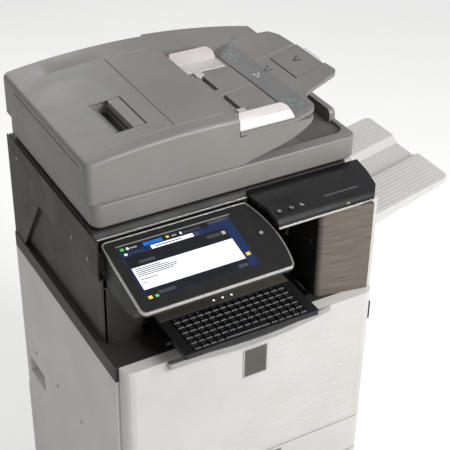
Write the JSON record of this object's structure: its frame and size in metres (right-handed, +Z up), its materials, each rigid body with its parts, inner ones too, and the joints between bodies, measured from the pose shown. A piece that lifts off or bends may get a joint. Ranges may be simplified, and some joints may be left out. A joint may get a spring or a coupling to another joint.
{
  "type": "photocopier",
  "caption": "Floor-standing office copier with document feeder, tilting touch panel, pull-out keyboard, side catch tray and paper drawers in a stand.",
  "frame": {"origin": "middle of the bounding box's footprint, on the floor under the levelling feet", "axes": "+Z up; -Y towards the operator (keyboard and touch panel); +X towards the side catch tray (the operator's right)"},
  "size_m": [0.8218, 0.667, 1.1628],
  "materials": {
    "frame_steel": "zinc plated",
    "white_plastic": "fine texture",
    "black_gloss": "gloss",
    "grey_plastic": "fine texture",
    "bright_steel": "plated",
    "dark_plastic": "fine texture",
    "handle_grey": "satin",
    "carriage_metal": "pressed",
    "roller_rubber": "matt",
    "black_keys": "satin",
    "guide_plastic": "satin",
    "stand_white": "satin powder coat",
    "pillar_plastic": "lined",
    "platen": "polished",
    "foam_sheet": "smooth",
    "tablet_shell": "satin",
    "screen_glass": "polished",
    "toner_plastic": "satin"
  },
  "bodies": {
    "machine": {"base_frame": "frame_steel", "control_shelf": "black_gloss", "cover_screws": "bright_steel", "deck": "dark_plastic", "drum_units": "carriage_metal", "fuser_case": "black_keys", "keyboard_housing": "dark_plastic", "laser_unit": "black_keys", "left_cover_lower": "white_plastic", "left_cover_upper": "dark_plastic", "lens_unit": "bright_steel", "levelling_feet": "bright_steel", "lid_hinges": "frame_steel", "output_tray": "dark_plastic", "paper_stand": "stand_white", "pillar_cover": "pillar_plastic", "platen_glass": "platen", "power_inlet": "dark_plastic", "rear_cover": "white_plastic", "right_cover": "white_plastic", "right_exit_tray": "white_plastic", "scanner_housing": "dark_plastic", "tablet_bracket": "frame_steel", "toner_cartridges": "toner_plastic", "transfer_belt": "roller_rubber"},
    "lamp": {"lamp_carriage": "carriage_metal"},
    "mirrors": {"mirror_carriage": "carriage_metal"},
    "lid": {"lid": "grey_plastic", "platen_mat": "foam_sheet", "feeder_body": "grey_plastic"},
    "feeder_cover": {"feeder_cover": "grey_plastic"},
    "cover_latch": {"cover_latch": "grey_plastic"},
    "feed_roller": {"feed_roller": "roller_rubber"},
    "feed_tray": {"feed_tray": "grey_plastic"},
    "guide_front": {"guide_front": "guide_plastic"},
    "guide_rear": {"guide_rear": "guide_plastic"},
    "tray_extension": {"tray_extension": "grey_plastic"},
    "tablet": {"tablet_case": "tablet_shell", "tablet_glass": "screen_glass"},
    "home_key": {"home_key": "black_keys"},
    "save_key": {"save_key": "black_keys"},
    "power_key": {"power_key": "black_keys"},
    "keyboard": {"keyboard_tray": "dark_plastic"},
    "keys": {"keyboard_keys": "black_keys"},
    "keyboard_rails": {"keyboard_rails": "bright_steel"},
    "front_door": {"front_door": "white_plastic", "door_handle": "handle_grey"},
    "drawer_1": {"drawer_front_1": "white_plastic", "drawer_tray_1": "frame_steel"},
    "drawer_2": {"drawer_front_2": "white_plastic", "drawer_tray_2": "frame_steel"},
    "side_door": {"side_door": "white_plastic"},
    "bypass_tray": {"bypass_tray": "white_plastic"},
    "side_latch": {"side_latch": "grey_plastic"},
    "exit_roller": {"exit_roller": "roller_rubber"},
    "heat_roller": {"heat_roller": "bright_steel"},
    "pressure_roller": {"pressure_roller": "roller_rubber"}
  },
  "joints": [
    {"name": "lamp_scan", "type": "slide", "parent": "machine", "child": "lamp", "axis": [1, 0, 0], "range_m": [0, 0.43]},
    {"name": "mirror_scan", "type": "slide", "parent": "machine", "child": "mirrors", "axis": [1, 0, 0], "range_m": [0, 0.215]},
    {"name": "lid_hinge", "type": "hinge", "parent": "machine", "child": "lid", "pos_m": [-0.1031, 0.32353, 0.996], "axis": [-1, 0, 0], "range_deg": [0, 65]},
    {"name": "feeder_cover_hinge", "type": "hinge", "parent": "lid", "child": "feeder_cover", "pos_m": [-0.4025, 0.04053, 1.1192], "axis": [0, -1, 0], "range_deg": [0, 70]},
    {"name": "cover_latch_hinge", "type": "hinge", "parent": "feeder_cover", "child": "cover_latch", "pos_m": [-0.2491, 0.04053, 1.139], "axis": [0, 1, 0], "range_deg": [0, 12], "stiffness_Nm_per_rad": 0.5, "springref_deg": -5.73},
    {"name": "feed_roller_spin", "type": "hinge", "parent": "lid", "child": "feed_roller", "pos_m": [-0.1231, 0.04053, 1.099], "axis": [0, 1, 0], "continuous": true},
    {"name": "feed_tray_hinge", "type": "hinge", "parent": "lid", "child": "feed_tray", "pos_m": [-0.0691, 0.04053, 1.1155], "axis": [0, -1, 0], "range_deg": [0, 8]},
    {"name": "guide_front_slide", "type": "slide", "parent": "feed_tray", "child": "guide_front", "axis": [0, 1, 0], "range_m": [0, 0.068]},
    {"name": "guide_rear_slide", "type": "slide", "parent": "feed_tray", "child": "guide_rear", "axis": [0, 1, 0], "range_m": [-0.068, 0]},
    {"name": "tray_extension_slide", "type": "slide", "parent": "feed_tray", "child": "tray_extension", "axis": [0.9563, 0, 0.2924], "range_m": [0, 0.06]},
    {"name": "tablet_tilt", "type": "hinge", "parent": "machine", "child": "tablet", "pos_m": [-0.2296, -0.16747, 0.935], "axis": [1, 0, 0], "range_deg": [0, 38]},
    {"name": "home_key_press", "type": "slide", "parent": "tablet", "child": "home_key", "axis": [0, 0.225, -0.9744], "range_m": [0, 0.001], "stiffness_N_per_m": 300},
    {"name": "save_key_press", "type": "slide", "parent": "machine", "child": "save_key", "axis": [0, 0, -1], "range_m": [0, 0.0012], "stiffness_N_per_m": 300},
    {"name": "power_key_press", "type": "slide", "parent": "machine", "child": "power_key", "axis": [0, 0, -1], "range_m": [0, 0.0012], "stiffness_N_per_m": 300},
    {"name": "keyboard_slide", "type": "slide", "parent": "machine", "child": "keyboard", "axis": [0, 1, 0], "range_m": [0, 0.13]},
    {"name": "keyboard_rails_slide", "type": "slide", "parent": "machine", "child": "keyboard_rails", "axis": [0, 1, 0], "range_m": [0, 0.065]},
    {"name": "keys_press", "type": "slide", "parent": "keyboard", "child": "keys", "axis": [0, 0, -1], "range_m": [0, 0.002], "stiffness_N_per_m": 1500},
    {"name": "front_door_hinge", "type": "hinge", "parent": "machine", "child": "front_door", "pos_m": [-0.1031, -0.25447, 0.382], "axis": [1, 0, 0], "range_deg": [0, 80]},
    {"name": "drawer_1_slide", "type": "slide", "parent": "machine", "child": "drawer_1", "axis": [0, -1, 0], "range_m": [0, 0.4]},
    {"name": "drawer_2_slide", "type": "slide", "parent": "machine", "child": "drawer_2", "axis": [0, -1, 0], "range_m": [0, 0.4]},
    {"name": "side_door_hinge", "type": "hinge", "parent": "machine", "child": "side_door", "pos_m": [0.1949, 0.25653, 0.727], "axis": [0, 0, 1], "range_deg": [0, 70]},
    {"name": "bypass_tray_hinge", "type": "hinge", "parent": "side_door", "child": "bypass_tray", "pos_m": [0.2082, 0.04053, 0.391], "axis": [0, 1, 0], "range_deg": [0, 75]},
    {"name": "side_latch_hinge", "type": "hinge", "parent": "machine", "child": "side_latch", "pos_m": [0.1939, -0.22247, 0.727], "axis": [0, 0, 1], "range_deg": [0, 8], "stiffness_Nm_per_rad": 0.5},
    {"name": "exit_roller_spin", "type": "hinge", "parent": "machine", "child": "exit_roller", "pos_m": [0.0619, 0.04053, 0.835], "axis": [0, 1, 0], "continuous": true},
    {"name": "heat_roller_spin", "type": "hinge", "parent": "machine", "child": "heat_roller", "pos_m": [0.1149, 0.01653, 0.617], "axis": [0, 1, 0], "continuous": true},
    {"name": "pressure_roller_spin", "type": "hinge", "parent": "machine", "child": "pressure_roller", "pos_m": [0.1525, 0.01653, 0.617], "axis": [0, 1, 0], "continuous": true}
  ],
  "couplings": [
    {"joint": "mirror_scan", "follows": "lamp_scan", "ratio": 0.5},
    {"joint": "guide_rear_slide", "follows": "guide_front_slide", "ratio": -1},
    {"joint": "keyboard_rails_slide", "follows": "keyboard_slide", "ratio": 0.5},
    {"joint": "pressure_roller_spin", "follows": "heat_roller_spin", "ratio": -1.1429}
  ]
}
